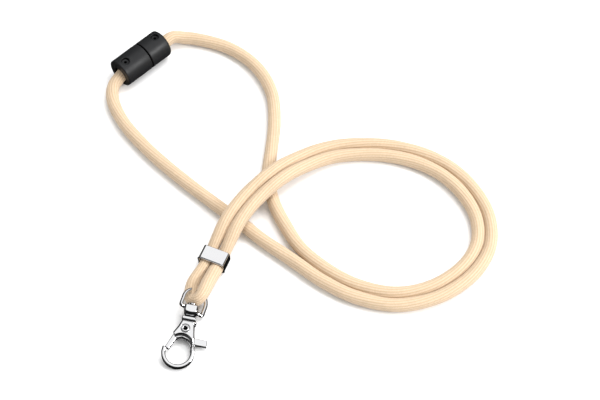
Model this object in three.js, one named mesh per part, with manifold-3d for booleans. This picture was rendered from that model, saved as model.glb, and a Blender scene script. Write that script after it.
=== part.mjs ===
// Badge lanyard: a soft round braided neck cord whose two ends are joined by a breakaway
// barrel, doubled through a clamp band and folded through the eye of a swivel trigger hook.
// It lies on a flat surface. Millimetres, +Z up, +Y from the hook towards the barrel.

import * as THREE from "three";
import { mergeVertices } from "three/addons/utils/BufferGeometryUtils.js";
import Module from "manifold-3d";

const wasm = await Module();
wasm.setup();

// ---------------------------------------------------------------- driving dimensions

const RUNNING_GAP = 0.3;

// The neck cord: its two strands lie side by side in the doubled run.
const CORD_DIAMETER = 4.9;
const CORD_SIDES = 10;
const CORD_STEP = 13;
const STRAND_SPACING = 5.6;

// The folded end of the cord, squeezed by the clamp and the eye.
const FOLD_DIAMETER = 4.1;
const FOLD_STEP = 3.1;

// The breakaway barrel, turned about its own axis, with one cord bore at each outer end.
const BARREL_RADIUS = 6.5;
const BARREL_SIDES = 48;
const SOCKET_HALF_LENGTH = 14;
const PLUG_HALF_LENGTH = 11.3;
const BARREL_YAW = 45;
const BARREL_CENTRE = [-13.2, 70.7, BARREL_RADIUS];
const SEAM_CHAMFER = 0.35;
const SOCKET_END_ROUND = 0.5;
const PLUG_END_ROUND = 1.1;
const CORD_BORE_RADIUS = 4;
const CORD_BORE_DEPTH = 3.4;
const CORD_SEAT_DEPTH = 2;
const PIN_RECESS_RADIUS = 1.8;
const PIN_RECESS_FLOOR = 5.6;
const PIN_HOLE_RADIUS = 0.6;
const PIN_HOLE_FLOOR = 4.2;
const SOCKET_PIN_TILT = 6;
const PLUG_PIN_TILT = -4;
const SOCKET_PIN_PLACE = -10.5;
const PLUG_PIN_PLACE = 7.7;

// The clamp band pressed round both strands.
const CLAMP_WIDTH = 11.4;
const CLAMP_HEIGHT = 6.4;
const CLAMP_LENGTH = 6.6;
const CLAMP_WALL = 0.7;
const CLAMP_CORNER = 1.1;
const CLAMP_CENTRE = [21.9, -33.1, 3.6];
const CLAMP_YAW = -23;
const CLAMP_PITCH = 4;

// The swivel eye: a bow of wire whose foot bar carries a bored boss. The boss is in line with
// the hook's post, so its two ends are places along the hook's own long axis.
const EYE_WIDTH = 11.8;
const EYE_ARCH_CENTRE = 4;
const EYE_WIRE = 1.5;
const EYE_FOOT_CORNER = 0.7;
const EYE_BOSS_RADIUS = 2.9;
const EYE_BOSS_BACK = 1.55;
const EYE_BOSS_FRONT = -3;
const EYE_BOSS_ROUND = 2.2;
const EYE_CENTRE = [13.6, -57.8, 5];
const EYE_YAW = -16;
const EYE_ROLL = 35;

// The trigger hook hangs from the eye by a headed post; its own frame starts in the boss.
const HOOK_CENTRE = [13.4, -57.8, 5.08];
const HOOK_YAW = -10;
const HOOK_PITCH = 8.6;
const HOOK_ROLL = 6;
const POST_RADIUS = 1.2;
const POST_CLEARANCE = 0.35;
const POST_HEAD_RADIUS = 2;
const POST_HEAD_HEIGHT = 0.8;
const POST_HEAD_BEVEL = 0.5;
const COLLAR_SIZE = [5.6, 1.2, 3.6];
const COLLAR_TOP = -3.3;
const NECK_SIZE = [4.7, 1.5, 2];
const BODY_TOP = -5.1;
const BODY_THICKNESS = 4.8;
const BODY_FULL_TO = -12;
const RING_THICKNESS = 2.6;
const RING_FROM = -19;
const RING_CENTRE = [-1.5, -18.5];
const RING_OUTER_RADIUS = 6.5;
const RING_INNER_RADIUS = 4.9;
const CROWN_CENTRE = [-1, -15.4];
const CROWN_RADIUS = 4.1;

// The gate lever turns on the rivet between the two cheeks of the hook's body.
const RIVET_PLACE = [-0.5, -8.6];
const RIVET_RADIUS = 0.9;
const RIVET_HEAD_RADIUS = 1.75;
const RIVET_HEAD_HEIGHT = 0.35;
const RIVET_HEAD_GAP = 0.15;
const RIVET_DIMPLE_RADIUS = 0.75;
const LEVER_THICKNESS = 1.7;
const LEVER_BOSS_RADIUS = 2.3;
const LEVER_SLOT_FOOT = -15;
const SHOULDER_REACH = 4.95;
const GATE_REACH = 10.55;
const GATE_OUTER_ANGLE = -128;
const GATE_INNER_ANGLE = -118;

// The cheeks' outline from the neck down the right side, then up the left side: [x, y].
const CHEEK_RIGHT = [[2.5, BODY_TOP], [3.3, -5.3], [3.3, -5.9], [2.8, -6.4], [3.2, -8.6],
  [4, -12.6]];
const CHEEK_LEFT = [[-5.05, -10.9], [-3.6, -8.2], [-2.5, BODY_TOP]];

// The lever's thumb tab, and the edge that runs from it back to the gate arm: [x, y].
const THUMB_TAB = [[4, -11.5], [9, -11.6], [9.1, -14.3], [4.7, -14.3]];
const LEVER_UNDERSIDE = [[3, -13.6], [1.2, -12.5], [-1.2, -11.9], [-3.3, -12.8]];
const GATE_ARM_ROOT = [-4.6, -10.95];

// ---------------------------------------------------------------- cord route

// The middle of the doubled run, from near the clamp round to where its two strands part.
const DOUBLED_RUN = [
  [25.6, -25.0, 5.8],
  [29.0, -18.2, 8.2],
  [33.2, -11.2, 8.8],
  [38.2, -4.4, 8.6],
  [44.6, 2.4, 8.8],
  [51.4, 8.8, 7.4],
  [58.6, 14.4, 5.2],
  [66.5, 19.0, 3.6],
  [75.0, 21.6, 2.9],
  [91.0, 22.0, 2.9],
  [106.0, 18.6, 2.9],
  [118.5, 11.6, 2.9],
  [128.0, 0.8, 2.9],
  [133.4, -12.6, 2.9],
  [132.8, -26.2, 2.9],
  [125.6, -38.2, 2.9],
  [112.0, -48.0, 2.9],
  [96.0, -51.6, 2.9],
  [80.6, -48.2, 2.9],
  [68.0, -41.2, 2.9],
];

// The outer strand's own way, under the doubled run and up to the barrel's socket half.
const OUTER_TAIL = [
  [54.0, -33.4, 2.9],
  [41.2, -23.4, 2.9],
  [33.0, -16.0, 2.9],
  [22.0, -6.6, 2.9],
  [5.4, 8.0, 2.9],
  [-9.2, 22.6, 2.9],
  [-20.3, 36.8, 2.9],
  [-25.7, 48.8, 3.0],
  [-25.6, 56.2, 4.7],
];

// The inner strand's own way, under the doubled run and round to the barrel's plug half.
const INNER_TAIL = [
  [57.4, -27.6, 2.9],
  [50.6, -16.0, 2.9],
  [45.6, -4.0, 2.9],
  [43.4, 8.0, 2.9],
  [44.6, 21.6, 2.9],
  [45.8, 36.0, 2.9],
  [44.4, 53.0, 2.9],
  [37.4, 67.4, 2.9],
  [25.0, 78.2, 2.9],
  [10.0, 83.3, 3.2],
  [4.4, 83.7, 3.7],
  [-0.6, 82.8, 5.2],
];

// ---------------------------------------------------------------- shapes and solids

const rad = THREE.MathUtils.degToRad;

function toSolid(geometry) {
  const bare = geometry.clone();
  bare.deleteAttribute("normal");
  bare.deleteAttribute("uv");
  const merged = mergeVertices(bare, 1e-4);
  const mesh = new wasm.Mesh({
    numProp: 3,
    vertProperties: new Float32Array(merged.attributes.position.array),
    triVerts: new Uint32Array(merged.index.array),
  });
  mesh.merge();
  return new wasm.Manifold(mesh);
}

function toGeometry(solid) {
  const mesh = solid.getMesh();
  const geometry = new THREE.BufferGeometry();
  geometry.setAttribute("position", new THREE.BufferAttribute(mesh.vertProperties, 3));
  geometry.setIndex(new THREE.BufferAttribute(mesh.triVerts, 1));
  return geometry;
}

function finish(color, roughness, metalness) {
  return new THREE.MeshStandardMaterial({ color, roughness, metalness, flatShading: true });
}

function piece(name, geometry, material) {
  const mesh = new THREE.Mesh(geometry, material);
  mesh.name = name;
  return mesh;
}

// A turned part: rows are [radius, height], revolved about Y, closed on the axis.
function turned(rows, sides) {
  const points = rows.map(([radius, height]) => new THREE.Vector2(radius, height));
  return new THREE.LatheGeometry(points, sides);
}

// A plain cylinder about Z, from height low to height high.
function drill(radius, low, high, sides) {
  const rows = [[0, low], [radius, low], [radius, high], [0, high]];
  return turned(rows, sides).rotateX(Math.PI / 2);
}

// A flat plate of an outline in XY, centred on Z = 0.
function plate(shape, thickness, curveSegments = 12) {
  const geometry = new THREE.ExtrudeGeometry(shape, {
    depth: thickness,
    bevelEnabled: false,
    curveSegments,
  });
  return geometry.translate(0, 0, -thickness / 2);
}

function polygon(rows) {
  return new THREE.Shape(rows.map(([x, y]) => new THREE.Vector2(x, y)));
}

function roundedBox(width, height, corner) {
  const shape = new THREE.Shape();
  const x = width / 2 - corner;
  const y = height / 2 - corner;
  shape.absarc(x, -y, corner, -Math.PI / 2, 0);
  shape.absarc(x, y, corner, 0, Math.PI / 2);
  shape.absarc(-x, y, corner, Math.PI / 2, Math.PI);
  shape.absarc(-x, -y, corner, Math.PI, 1.5 * Math.PI);
  return shape;
}

// Children turned by yaw about Z, then pitch about X, then roll about Y, and put in place.
function placed(children, position, yaw, pitch = 0, roll = 0) {
  const group = new THREE.Group();
  group.add(...children);
  group.rotation.order = "ZXY";
  group.rotation.set(rad(pitch), rad(roll), rad(yaw));
  group.position.set(...position);
  group.updateMatrixWorld(true);
  return group;
}

const cream = finish(0xf3dcc0, 0.85, 0);
const charcoal = finish(0x2b2c2e, 0.42, 0);
const chrome = finish(0xd5d7da, 0.12, 1);

// ---------------------------------------------------------------- breakaway barrel

// Rows run from the bore's floor, out over the end face and along to the seam.
function barrelRows(seam, end, endRound) {
  const out = Math.sign(end);
  const rows = [
    [0, end - out * CORD_BORE_DEPTH],
    [CORD_BORE_RADIUS, end - out * CORD_BORE_DEPTH],
    [CORD_BORE_RADIUS, end],
    [BARREL_RADIUS - endRound, end],
    [BARREL_RADIUS - endRound * 0.3, end - out * endRound * 0.3],
    [BARREL_RADIUS, end - out * endRound],
    [BARREL_RADIUS, seam + out * SEAM_CHAMFER],
    [BARREL_RADIUS - SEAM_CHAMFER, seam],
    [0, seam],
  ];
  return out > 0 ? rows.reverse() : rows;
}

// Each half is turned about X, with a shallow recess and a hole over the cord's cross pin.
function barrelHalf(rows, pinPlace, pinTilt) {
  const body = toSolid(turned(rows, BARREL_SIDES).rotateZ(-Math.PI / 2));
  const clear = BARREL_RADIUS + 1;
  const recess = drill(PIN_RECESS_RADIUS, PIN_RECESS_FLOOR, clear, 24);
  const pinHole = drill(PIN_HOLE_RADIUS, PIN_HOLE_FLOOR, clear, 12);
  return body
    .subtract(toSolid(recess.translate(pinPlace, 0, 0).rotateX(rad(pinTilt))))
    .subtract(toSolid(pinHole.translate(pinPlace, 0, 0).rotateX(rad(pinTilt))));
}

const socketRows = barrelRows(-RUNNING_GAP / 2, -SOCKET_HALF_LENGTH, SOCKET_END_ROUND);
const plugRows = barrelRows(RUNNING_GAP / 2, PLUG_HALF_LENGTH, PLUG_END_ROUND);
const socketHalf = barrelHalf(socketRows, SOCKET_PIN_PLACE, SOCKET_PIN_TILT);
const plugHalf = barrelHalf(plugRows, PLUG_PIN_PLACE, PLUG_PIN_TILT);
const barrel = placed(
  [
    piece("breakaway_socket_half", toGeometry(socketHalf), charcoal),
    piece("breakaway_plug_half", toGeometry(plugHalf), charcoal),
  ],
  BARREL_CENTRE,
  BARREL_YAW,
);

// ---------------------------------------------------------------- clamp band

const bandOutline = roundedBox(CLAMP_WIDTH, CLAMP_HEIGHT, CLAMP_CORNER);
bandOutline.holes.push(
  roundedBox(
    CLAMP_WIDTH - 2 * CLAMP_WALL,
    CLAMP_HEIGHT - 2 * CLAMP_WALL,
    CLAMP_CORNER - CLAMP_WALL,
  ),
);
const clampBand = piece(
  "clamp_band",
  plate(bandOutline, CLAMP_LENGTH, 5).rotateX(Math.PI / 2),
  chrome,
);
const clamp = placed([clampBand], CLAMP_CENTRE, CLAMP_YAW, CLAMP_PITCH);

// ---------------------------------------------------------------- swivel eye

// The bow's outline, a foot bar under a round arch, its inner edge at an inset of one wire.
function bowOutline(inset) {
  const half = EYE_WIDTH / 2 - inset;
  const foot = -EYE_WIRE / 2 + inset;
  const shape = new THREE.Shape();
  const footX = half - EYE_FOOT_CORNER;
  const footY = foot + EYE_FOOT_CORNER;
  shape.absarc(footX, footY, EYE_FOOT_CORNER, -Math.PI / 2, 0);
  shape.absarc(0, EYE_ARCH_CENTRE, half, 0, Math.PI);
  shape.absarc(-footX, footY, EYE_FOOT_CORNER, Math.PI, 1.5 * Math.PI);
  return shape;
}

const bow = bowOutline(0);
bow.holes.push(bowOutline(EYE_WIRE));

// The boss is turned about the hook's axis, its front end rounded off in three steps.
const eyeFrame = placed([new THREE.Object3D()], EYE_CENTRE, EYE_YAW, 0, EYE_ROLL);
const hookFrame = placed([new THREE.Object3D()], HOOK_CENTRE, HOOK_YAW, HOOK_PITCH, HOOK_ROLL);
const hookInEye = eyeFrame.matrixWorld.clone().invert().multiply(hookFrame.matrixWorld);
const bossRows = [[0, EYE_BOSS_FRONT]];
[90, 60, 30, 0].forEach((angle) => {
  bossRows.push([
    EYE_BOSS_RADIUS - EYE_BOSS_ROUND * (1 - Math.cos(rad(angle))),
    EYE_BOSS_FRONT + EYE_BOSS_ROUND * (1 - Math.sin(rad(angle))),
  ]);
});
bossRows.push([EYE_BOSS_RADIUS, EYE_BOSS_BACK], [0, EYE_BOSS_BACK]);
const boss = turned(bossRows, 24);
const bossBore = drill(POST_RADIUS + POST_CLEARANCE, 2 * EYE_BOSS_FRONT, -2 * EYE_BOSS_FRONT, 24);
const swivelEye = piece(
  "swivel_eye",
  toGeometry(
    toSolid(plate(bow, EYE_WIRE, 12))
      .add(toSolid(boss.applyMatrix4(hookInEye)))
      .subtract(toSolid(bossBore.rotateX(Math.PI / 2).applyMatrix4(hookInEye))),
  ),
  chrome,
);
const eye = placed([swivelEye], EYE_CENTRE, EYE_YAW, 0, EYE_ROLL);

// ---------------------------------------------------------------- trigger hook

// The post and its riveted head turn about the hook's long axis.
const headFoot = EYE_BOSS_BACK + RUNNING_GAP;
const stem = turned(
  [
    [0, BODY_TOP],
    [POST_RADIUS, BODY_TOP],
    [POST_RADIUS, headFoot],
    [POST_HEAD_RADIUS, headFoot],
    [POST_HEAD_RADIUS - POST_HEAD_BEVEL, headFoot + POST_HEAD_HEIGHT],
    [0, headFoot + POST_HEAD_HEIGHT],
  ],
  24,
);

// A flat bar across the body's head end, and the narrower neck that joins the two.
const collar = new THREE.BoxGeometry(...COLLAR_SIZE);
collar.translate(0, COLLAR_TOP - COLLAR_SIZE[1] / 2, 0);
const neck = new THREE.BoxGeometry(...NECK_SIZE);
neck.translate(0, COLLAR_TOP - (COLLAR_SIZE[1] + NECK_SIZE[1]) / 2, 0);

// Cheeks and ring share one outline: a wedge that widens from the neck into the ring.
const bodyOutline = polygon(CHEEK_RIGHT);
bodyOutline.absarc(...RING_CENTRE, RING_OUTER_RADIUS, rad(9), rad(-191), true);
CHEEK_LEFT.forEach(([x, y]) => bodyOutline.lineTo(x, y));

// Seen from the side the body is full at the cheeks and thin at the ring.
const halfBody = BODY_THICKNESS / 2;
const halfRing = RING_THICKNESS / 2;
const ringFoot = RING_CENTRE[1] - RING_OUTER_RADIUS - 1;
const sideOutline = polygon([
  [BODY_TOP + 1, -halfBody],
  [BODY_TOP + 1, halfBody],
  [BODY_FULL_TO, halfBody],
  [RING_FROM, halfRing],
  [ringFoot, halfRing],
  [ringFoot, -halfRing],
  [RING_FROM, -halfRing],
  [BODY_FULL_TO, -halfBody],
]);
const sideways = new THREE.Matrix4().makeBasis(
  new THREE.Vector3(0, 1, 0),
  new THREE.Vector3(0, 0, 1),
  new THREE.Vector3(1, 0, 0),
);
const sideSlab = plate(sideOutline, 4 * RING_OUTER_RADIUS).applyMatrix4(sideways);

function disc(centre, radius) {
  const shape = new THREE.Shape();
  shape.absarc(...centre, radius, 0, 2 * Math.PI);
  return shape;
}

// The gate's way through the ring is a sector about the rivet, from the cheeks' shoulder to
// the tip of the gate, so that the gate swings in without touching the ring.
const gateWay = new THREE.Shape();
const wayOut = rad(GATE_OUTER_ANGLE - 30);
const wayIn = rad(GATE_INNER_ANGLE);
gateWay.absarc(...RIVET_PLACE, GATE_REACH + RUNNING_GAP, wayOut, wayIn, false);
gateWay.absarc(...RIVET_PLACE, SHOULDER_REACH, wayIn, wayOut, true);

const slotTop = RIVET_PLACE[1] + LEVER_BOSS_RADIUS + 2 * RUNNING_GAP;
const slotHalf = 2 * RING_OUTER_RADIUS;
const leverSlot = polygon([
  [-slotHalf, slotTop],
  [slotHalf, slotTop],
  [slotHalf, LEVER_SLOT_FOOT],
  [-slotHalf, LEVER_SLOT_FOOT],
]);
const rivetHole = drill(RIVET_RADIUS + RUNNING_GAP, -BODY_THICKNESS, BODY_THICKNESS, 20);
rivetHole.translate(...RIVET_PLACE, 0);

const hookBody = piece(
  "hook_body",
  toGeometry(
    toSolid(plate(bodyOutline, 2 * BODY_THICKNESS, 16))
      .intersect(toSolid(sideSlab))
      .add(toSolid(stem))
      .add(toSolid(collar))
      .add(toSolid(neck))
      .subtract(toSolid(plate(disc(RING_CENTRE, RING_INNER_RADIUS), 2 * BODY_THICKNESS, 18)))
      .subtract(toSolid(plate(disc(CROWN_CENTRE, CROWN_RADIUS), 2 * BODY_THICKNESS, 18)))
      .subtract(toSolid(plate(gateWay, 2 * BODY_THICKNESS)))
      .subtract(toSolid(plate(leverSlot, LEVER_THICKNESS + 2 * RUNNING_GAP)))
      .subtract(toSolid(rivetHole)),
  ),
  chrome,
);

const headUnder = halfBody + RIVET_HEAD_GAP;
const headOver = headUnder + RIVET_HEAD_HEIGHT;
const rivetBlank = turned(
  [
    [0, -headOver],
    [RIVET_HEAD_RADIUS, -headOver],
    [RIVET_HEAD_RADIUS, -headUnder],
    [RIVET_RADIUS, -headUnder],
    [RIVET_RADIUS, headUnder],
    [RIVET_HEAD_RADIUS, headUnder],
    [RIVET_HEAD_RADIUS, headOver],
    [RIVET_DIMPLE_RADIUS, headOver],
    [RIVET_DIMPLE_RADIUS, headUnder],
    [0, headUnder],
  ],
  20,
).rotateX(Math.PI / 2);
const rivet = piece("rivet", rivetBlank.translate(...RIVET_PLACE, 0), chrome);

// One flat lever: a boss on the rivet, a thumb tab to the right and the gate arm to the left.
const leverOutline = new THREE.Shape();
leverOutline.absarc(...RIVET_PLACE, LEVER_BOSS_RADIUS, rad(200), rad(-10), true);
[...THUMB_TAB, ...LEVER_UNDERSIDE].forEach(([x, y]) => leverOutline.lineTo(x, y));
leverOutline.absarc(...RIVET_PLACE, GATE_REACH, wayIn, rad(GATE_OUTER_ANGLE), true);
leverOutline.lineTo(...GATE_ARM_ROOT);
leverOutline.holes.push(disc(RIVET_PLACE, RIVET_RADIUS + RUNNING_GAP));
const gateLever = piece("gate_lever", plate(leverOutline, LEVER_THICKNESS, 8), chrome);

const hook = placed([hookBody, rivet, gateLever], HOOK_CENTRE, HOOK_YAW, HOOK_PITCH, HOOK_ROLL);

// ---------------------------------------------------------------- cords

function tube(curve, diameter, step) {
  const section = [];
  for (let i = 0; i < CORD_SIDES; i += 1) {
    const angle = (2 * Math.PI * (i + 0.5)) / CORD_SIDES;
    section.push([(diameter / 2) * Math.cos(angle), (diameter / 2) * Math.sin(angle)]);
  }
  return new THREE.ExtrudeGeometry(polygon(section), {
    steps: Math.round(curve.getLength() / step),
    extrudePath: curve,
    bevelEnabled: false,
  });
}

function smoothCurve(rows) {
  const points = rows.map((row) => new THREE.Vector3(...row));
  const curve = new THREE.CatmullRomCurve3(points, false, "centripetal");
  curve.arcLengthDivisions = 1200;
  return curve;
}

function inFrame(frame, row) {
  return new THREE.Vector3(...row).applyMatrix4(frame.matrixWorld).toArray();
}

// One strand of the doubled run, beside its middle line: side is +1 on the left of the way
// round from the clamp, and -1 on the right.
function besideRun(rows, side) {
  return rows.map((row, i) => {
    const before = rows[Math.max(i - 1, 0)];
    const after = rows[Math.min(i + 1, rows.length - 1)];
    const along = new THREE.Vector2(after[0] - before[0], after[1] - before[1]).normalize();
    const shift = (side * STRAND_SPACING) / 2;
    return [row[0] - along.y * shift, row[1] + along.x * shift, row[2]];
  });
}

const clampMouth = inFrame(clamp, [0, CLAMP_LENGTH / 2 + 2 * RUNNING_GAP, 0]);
const middleRun = [clampMouth, ...DOUBLED_RUN];
const outerStrand = smoothCurve([
  ...besideRun(middleRun, 1),
  ...OUTER_TAIL,
  inFrame(barrel, [-SOCKET_HALF_LENGTH + CORD_SEAT_DEPTH, 0, 0]),
]);
const innerStrand = smoothCurve([
  ...besideRun(middleRun, -1),
  ...INNER_TAIL,
  inFrame(barrel, [PLUG_HALF_LENGTH - CORD_SEAT_DEPTH, 0, 0]),
]);
const cordOuter = piece("cord_outer_strand", tube(outerStrand, CORD_DIAMETER, CORD_STEP), cream);
const cordInner = piece("cord_inner_strand", tube(innerStrand, CORD_DIAMETER, CORD_STEP), cream);

// The fold leaves the clamp on the left, dips under the eye's top bar, turns inside the eye,
// rises over the bar on the right and goes back into the clamp.
const eyeLevel = placed([new THREE.Object3D()], EYE_CENTRE, EYE_YAW);
const strandInClamp = (CLAMP_WIDTH - FOLD_DIAMETER) / 2 - CLAMP_WALL - RUNNING_GAP;
const clampEnd = CLAMP_LENGTH / 2;
const foldEnd = clampEnd - 2 * RUNNING_GAP;
const foldCurve = smoothCurve([
  inFrame(clamp, [-strandInClamp, foldEnd, 0]),
  inFrame(clamp, [-strandInClamp, -clampEnd, 0]),
  inFrame(eyeLevel, [-3.8, 13.5, -2.2]),
  inFrame(eyeLevel, [-3.5, 9.6, -2.4]),
  inFrame(eyeLevel, [-2.8, 7.1, -2.1]),
  inFrame(eyeLevel, [-1.5, 5.5, -1.3]),
  inFrame(eyeLevel, [0.2, 5, -0.1]),
  inFrame(eyeLevel, [1.6, 5.8, 1.2]),
  inFrame(eyeLevel, [2.3, 7.7, 1.8]),
  inFrame(eyeLevel, [2.6, 10.4, 1.7]),
  inFrame(eyeLevel, [2.6, 13.8, 0.6]),
  inFrame(clamp, [strandInClamp, -clampEnd, 0]),
  inFrame(clamp, [strandInClamp, foldEnd, 0]),
]);
const cordFold = piece("cord_fold", tube(foldCurve, FOLD_DIAMETER, FOLD_STEP), cream);

// ---------------------------------------------------------------- the whole lanyard

const lanyard = new THREE.Group();
lanyard.add(cordOuter, cordInner, cordFold, barrel, clamp, eye, hook);

export default lanyard;
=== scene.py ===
from math import cos, pi, radians, sin

import bpy
import numpy as np
from mathutils import Matrix, Vector


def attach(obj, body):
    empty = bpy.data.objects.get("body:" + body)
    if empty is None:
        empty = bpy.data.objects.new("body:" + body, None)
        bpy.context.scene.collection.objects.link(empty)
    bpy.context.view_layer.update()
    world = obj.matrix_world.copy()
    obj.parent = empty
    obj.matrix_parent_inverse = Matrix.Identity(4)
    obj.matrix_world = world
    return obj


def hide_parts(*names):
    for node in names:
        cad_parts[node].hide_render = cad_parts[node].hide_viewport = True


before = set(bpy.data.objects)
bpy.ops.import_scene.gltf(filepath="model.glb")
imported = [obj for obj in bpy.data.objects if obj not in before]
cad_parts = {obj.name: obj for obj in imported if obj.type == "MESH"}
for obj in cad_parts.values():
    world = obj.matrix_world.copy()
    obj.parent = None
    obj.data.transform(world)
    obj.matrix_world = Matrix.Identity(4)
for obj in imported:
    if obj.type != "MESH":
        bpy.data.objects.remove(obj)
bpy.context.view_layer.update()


# ------------------------------------------------------------------ camera and daylight table
# The lanyard lies on a white table under a broad soft light, with a smaller one to its right.
# Mirrored in the chrome is one soft box overhead, in a dark room with faintly lit walls, and
# neither the table nor the broad light.

VIEW_CENTRE = Vector((0.057, -0.002, 0))
VIEW_DISTANCE = 0.599
VIEW_HEIGHT_ANGLE = radians(57)
VIEW_WIDTH_ANGLE = radians(24)
VIEW_NEAR, VIEW_FAR = 0.01, 20

camera = bpy.data.objects.new("camera", bpy.data.cameras.new("camera"))
camera.data.angle = VIEW_WIDTH_ANGLE
camera.data.clip_start = VIEW_NEAR
camera.data.clip_end = VIEW_FAR
camera.rotation_euler = (pi / 2 - VIEW_HEIGHT_ANGLE, 0, 0)
camera.location = VIEW_CENTRE + VIEW_DISTANCE * Vector(
    (0, -cos(VIEW_HEIGHT_ANGLE), sin(VIEW_HEIGHT_ANGLE))
)
bpy.context.scene.collection.objects.link(camera)
bpy.context.scene.camera = camera
bpy.context.scene.view_settings.view_transform = "Standard"


def add(tree, kind, inputs=(), **settings):
    """A new shader node with its settings; inputs are values or sockets by name or place."""
    node = tree.nodes.new(f"ShaderNode{kind}")
    for key, value in settings.items():
        setattr(node, key, value)
    for key, value in dict(inputs).items():
        if isinstance(value, bpy.types.NodeSocket):
            tree.links.new(value, node.inputs[key])
        else:
            node.inputs[key].default_value = value
    return node


def calc(tree, operation, *values):
    """The output of a new Math node."""
    return add(tree, "Math", dict(enumerate(values)), operation=operation).outputs[0]


def new_material(name, values):
    """A material with its Principled shader's plain sockets set, as (material, tree, shader)."""
    material = bpy.data.materials.new(name)
    material.use_nodes = True
    tree = material.node_tree
    principled = tree.nodes["Principled BSDF"]
    for label, value in values.items():
        principled.inputs[label].default_value = value
    return material, tree, principled


TABLE_HALF = 3
TABLE_COLOUR = (0.93, 0.93, 0.93, 1)

table_mesh = bpy.data.meshes.new("table")
table_corners = [
    (x * TABLE_HALF, y * TABLE_HALF, 0) for x, y in ((-1, -1), (1, -1), (1, 1), (-1, 1))
]
table_mesh.from_pydata(table_corners, [], [(0, 1, 2, 3)])
table = bpy.data.objects.new("table", table_mesh)
table_finish, tree, shader = new_material(
    "table_white", {"Base Color": TABLE_COLOUR, "Roughness": 0.9}
)
table_mesh.materials.append(table_finish)
table.visible_glossy = False
bpy.context.scene.collection.objects.link(table)

# Cloth and plastic are lit by an even sky. Metal mirrors the soft box, the dark round it, and
# the walls, whose light fades out upwards and towards the open front.
SKY = 0.8
MIRRORED_DARK = 0.008
MIRRORED_BRIGHT = 1.04
SOFT_BOX_SIDE = Vector((0.32, 0.22, 0.92)).normalized()
DARK_TO, BRIGHT_FROM = 0.74, 0.86
WALL_LIGHT = 0.15
WALL_FOOT = 0.02
WALL_FADE_FROM, WALL_FADE_TO = 0.35, 0.5
FRONT_OPEN_TO, FRONT_SHUT_FROM = -0.8, -0.6
BACKDROP = 1.0

room = bpy.data.worlds.new("room")
room.use_nodes = True
bpy.context.scene.world = room
tree = room.node_tree
direction = add(tree, "TexCoord").outputs["Generated"]
facing = add(
    tree, "VectorMath", {0: direction, 1: SOFT_BOX_SIDE}, operation="DOT_PRODUCT"
).outputs["Value"]
mirrored = add(
    tree, "MapRange", {
        "Value": facing, "From Min": DARK_TO, "From Max": BRIGHT_FROM,
        "To Min": MIRRORED_DARK, "To Max": MIRRORED_BRIGHT,
    }
).outputs["Result"]
direction_parts = add(tree, "SeparateXYZ", {"Vector": direction}).outputs
wall = add(
    tree, "MapRange", {
        "Value": direction_parts["Z"], "From Min": WALL_FADE_FROM, "From Max": WALL_FADE_TO,
        "To Min": WALL_LIGHT, "To Max": 0,
    }
).outputs["Result"]
front_shut = add(
    tree, "MapRange", {
        "Value": direction_parts["Y"], "From Min": FRONT_OPEN_TO, "From Max": FRONT_SHUT_FROM,
    }
).outputs["Result"]
above_foot = calc(tree, "GREATER_THAN", direction_parts["Z"], WALL_FOOT)
wall = calc(tree, "MULTIPLY", calc(tree, "MULTIPLY", wall, front_shut), above_foot)
mirrored = calc(tree, "MAXIMUM", mirrored, wall)
rays = add(tree, "LightPath").outputs
lit = add(tree, "Mix", {"Factor": rays["Is Glossy Ray"], "A": SKY, "B": mirrored})
seen = add(
    tree, "Mix", {"Factor": rays["Is Camera Ray"], "A": lit.outputs["Result"], "B": BACKDROP}
)
tree.links.new(seen.outputs["Result"], tree.nodes["Background"].inputs["Strength"])
tree.nodes["Background"].inputs["Color"].default_value = (1, 1, 1, 1)


LIGHTS_AIM = (0.05, 0, 0)
KEY_PLACE, KEY_SIZE, KEY_POWER = (0.98, -0.30, 0.66), 0.4, 9.5
TOP_PLACE, TOP_SIZE, TOP_POWER = (0.45, 0.5, 1.4), 1.0, 20


def soft_light(name, place, size, power):
    """A square soft box at a place, aimed at the middle of the lanyard."""
    light = bpy.data.lights.new(name, "AREA")
    light.shape = "SQUARE"
    light.size = size
    light.energy = power
    lamp = bpy.data.objects.new(name, light)
    lamp.location = place
    way = Vector(LIGHTS_AIM) - Vector(place)
    lamp.rotation_euler = way.to_track_quat("-Z", "Y").to_euler()
    bpy.context.scene.collection.objects.link(lamp)
    return lamp


soft_light("key_light", KEY_PLACE, KEY_SIZE, KEY_POWER)
top_light = soft_light("top_light", TOP_PLACE, TOP_SIZE, TOP_POWER)
top_light.visible_glossy = False


# ------------------------------------------------------------------------- neck cord strands
# One soft round polyester braid, sixteen columns of short slanting plaits over a loose core,
# 5.6 mm thick. Its two strands run side by side from the clamp and part after the big curve;
# each goes on alone, under the doubled run, into its own end of the breakaway barrel.

CORD_SIDES = 64
CORD_RING = 0.0008
STRAND_SPACING = 0.00538

# The braid's columns are low ridges, and a few creases wander along the cord. Depths are
# shares of its radius, widths and wander are shares of a turn round it, and the lengths of
# the crease's wave and of the swells are in metres.
BRAID_COLUMNS = 16
BRAID_PITCH = 0.00062
BRAID_SLANT = 0.6
RIDGE_POWER = 2.5
BEAD_POWER = 2.0
BEAD_SHARE = 0.75
RIDGE_DEPTH = 0.008
CREASES = 5
CREASE_DEPTH, CREASE_WIDTH = 0.018, 0.03
CREASE_WANDER, CREASE_WAVE, CREASE_SCATTER = 0.03, 0.09, 7
SWELLS = 3
SWELL_DEPTH, SWELL_LENGTHS = 0.006, (0.012, 0.05)

CLAMP_CENTRE = (0.0219, -0.0331, 0.0036)
CLAMP_YAW = -23
CLAMP_PITCH = 4
CLAMP_LENGTH = 0.0066
BARREL_CENTRE = (-0.0132, 0.0707, 0.0065)
BARREL_YAW = 45
SOCKET_HALF_LENGTH = 0.014
PLUG_HALF_LENGTH = 0.0113
CORD_SEAT_DEPTH = 0.002
CORD_BORE_DROP = 0.0011

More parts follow.
